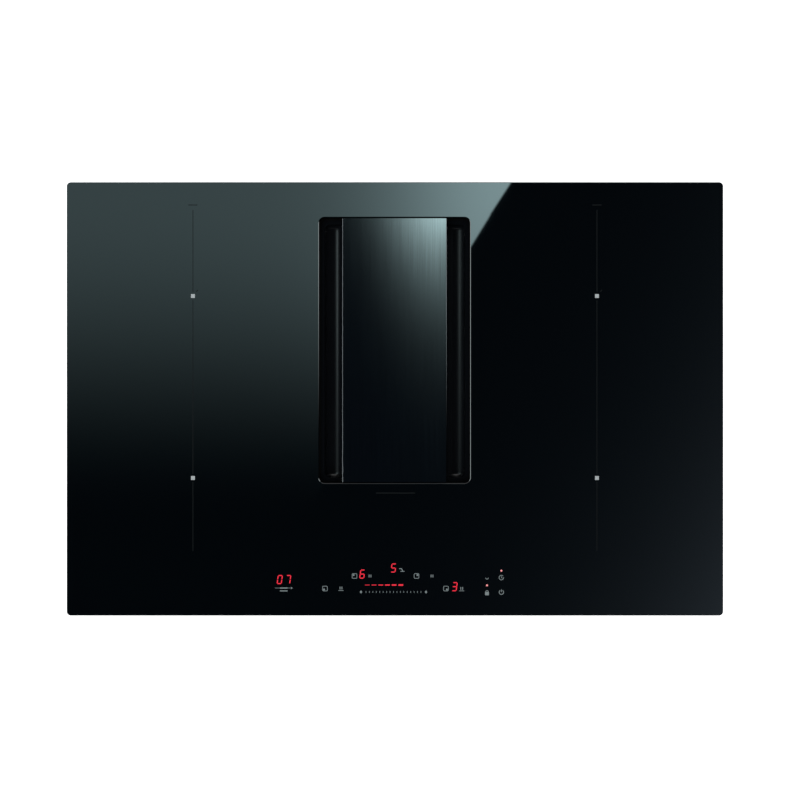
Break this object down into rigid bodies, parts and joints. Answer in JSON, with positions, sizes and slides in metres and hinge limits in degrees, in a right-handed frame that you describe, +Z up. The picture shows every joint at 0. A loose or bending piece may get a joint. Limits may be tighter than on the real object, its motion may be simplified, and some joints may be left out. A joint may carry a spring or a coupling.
{
  "type": "downdraft induction cooktop",
  "caption": "Black glass induction cooktop with a central downdraft extractor: lift-out brushed cover, drip tray and filters over a fan housing with a flat duct outlet.",
  "frame": {"origin": "middle of the glass seen from above, on the plane that the fan housing stands on", "axes": "+X to the right and +Y to the rear as the cook sees it, +Z up out of the glass"},
  "size_m": [0.78, 0.515, 0.22],
  "materials": {
    "black_glass": "polished black ceramic glass",
    "black_foam": "matt sealing foam and adhesive",
    "galvanised_steel": "zinc-coated sheet, satin",
    "black_moulding": "fine grained black moulding",
    "tray_black": "satin black moulding",
    "filter_aluminium": "satin",
    "filter_mesh": "layered expanded mesh",
    "handle_steel": "satin",
    "cover_brushed": "dark brushed along its length",
    "charcoal_block": "dry porous charcoal",
    "cap_grey": "grained grey moulding",
    "fan_black": "satin black moulding",
    "motor_steel": "turned steel",
    "zinc_screw": "bright zinc plated",
    "coil_winding": "varnished stranded winding",
    "plate_aluminium": "mill finish",
    "mica": "pale brown sheet",
    "circuit_board": "green solder mask",
    "white_moulding": "off-white moulding"
  },
  "bodies": {
    "cooktop": {"glass_top": "black_glass", "glass_bond": "black_foam", "glass_frame": "galvanised_steel", "worktop_seal": "black_foam", "chassis_pan": "galvanised_steel", "well_gasket": "black_foam", "intake_well": "black_moulding", "lower_housing": "black_moulding", "housing_gasket": "black_foam", "outlet_spigot": "black_moulding", "blower_scroll": "black_moulding", "blower_lid": "black_moulding", "blower_motor": "motor_steel", "display_light_guide": "white_moulding", "touch_board": "circuit_board", "touch_carrier": "black_moulding", "terminal_box": "black_moulding", "terminal_block": "white_moulding", "cable_clamp": "white_moulding", "induction_coil_rear_left": "coil_winding", "induction_coil_front_left": "coil_winding", "coil_plate_left": "plate_aluminium", "mica_sheet_left": "mica", "power_board_left": "circuit_board", "heat_sink_left": "plate_aluminium", "cooling_fan_frame_left": "fan_black", "induction_coil_rear_right": "coil_winding", "induction_coil_front_right": "coil_winding", "coil_plate_right": "plate_aluminium", "mica_sheet_right": "mica", "power_board_right": "circuit_board", "heat_sink_right": "plate_aluminium", "cooling_fan_frame_right": "fan_black", "clamp_screw_rear_right": "zinc_screw", "clamp_screw_front_right": "zinc_screw", "clamp_screw_rear_left": "zinc_screw", "clamp_screw_front_left": "zinc_screw"},
    "odour_filter": {"odour_filter_frame": "black_moulding", "odour_block_front": "charcoal_block", "odour_block_rear": "charcoal_block"},
    "drip_tray": {"drip_tray": "tray_black"},
    "grease_filter": {"grease_filter_frame": "filter_aluminium", "grease_filter_mesh": "filter_mesh", "grease_filter_handle": "handle_steel"},
    "cover": {"cover_panel": "cover_brushed", "cover_support_front": "black_moulding", "cover_support_rear": "black_moulding"},
    "blower_rotor": {"impeller": "fan_black", "motor_shaft": "motor_steel", "impeller_nut": "zinc_screw"},
    "cooling_rotor_left": {"cooling_rotor_left": "fan_black"},
    "cooling_rotor_right": {"cooling_rotor_right": "fan_black"},
    "drain_cap": {"drain_cap": "cap_grey", "drain_seal": "black_foam"},
    "terminal_lid": {"terminal_lid": "black_moulding"},
    "clamp_rear_right": {"clamp_arm_rear_right": "galvanised_steel"},
    "clamp_front_right": {"clamp_arm_front_right": "galvanised_steel"},
    "clamp_rear_left": {"clamp_arm_rear_left": "galvanised_steel"},
    "clamp_front_left": {"clamp_arm_front_left": "galvanised_steel"}
  },
  "joints": [
    {"name": "odour_filter_lift", "type": "slide", "parent": "cooktop", "child": "odour_filter", "axis": [0, 0, 1], "range_m": [0, 0.14]},
    {"name": "drip_tray_lift", "type": "slide", "parent": "odour_filter", "child": "drip_tray", "axis": [0, 0, 1], "range_m": [0, 0.08]},
    {"name": "grease_filter_lift", "type": "slide", "parent": "drip_tray", "child": "grease_filter", "axis": [0, 0, 1], "range_m": [0, 0.06]},
    {"name": "cover_lift", "type": "slide", "parent": "grease_filter", "child": "cover", "axis": [0, 0, 1], "range_m": [0, 0.06]},
    {"name": "blower_spin", "type": "hinge", "parent": "cooktop", "child": "blower_rotor", "pos_m": [0.168, 0.04, 0.06], "axis": [0, 0, 1], "continuous": true},
    {"name": "cooling_left_spin", "type": "hinge", "parent": "cooktop", "child": "cooling_rotor_left", "pos_m": [-0.24, -0.18, 0.172], "axis": [0, 0, 1], "continuous": true},
    {"name": "cooling_right_spin", "type": "hinge", "parent": "cooktop", "child": "cooling_rotor_right", "pos_m": [0.24, -0.18, 0.172], "axis": [0, 0, 1], "continuous": true},
    {"name": "drain_cap_turn", "type": "hinge", "parent": "cooktop", "child": "drain_cap", "pos_m": [0, 0.05775, 0.01], "axis": [0, 0, 1], "range_deg": [0, 90]},
    {"name": "terminal_lid_hinge", "type": "hinge", "parent": "cooktop", "child": "terminal_lid", "pos_m": [-0.285, 0.161, 0.12475], "axis": [-1, 0, 0], "range_deg": [0, 95]},
    {"name": "clamp_swing_rear_right", "type": "hinge", "parent": "cooktop", "child": "clamp_rear_right", "pos_m": [0.355, 0.15, 0.18], "axis": [0, 0, 1], "range_deg": [0, 90]},
    {"name": "clamp_swing_front_right", "type": "hinge", "parent": "cooktop", "child": "clamp_front_right", "pos_m": [0.355, -0.15, 0.18], "axis": [0, 0, -1], "range_deg": [0, 90]},
    {"name": "clamp_swing_rear_left", "type": "hinge", "parent": "cooktop", "child": "clamp_rear_left", "pos_m": [-0.355, 0.15, 0.18], "axis": [0, 0, -1], "range_deg": [0, 90]},
    {"name": "clamp_swing_front_left", "type": "hinge", "parent": "cooktop", "child": "clamp_front_left", "pos_m": [-0.355, -0.15, 0.18], "axis": [0, 0, 1], "range_deg": [0, 90]}
  ]
}
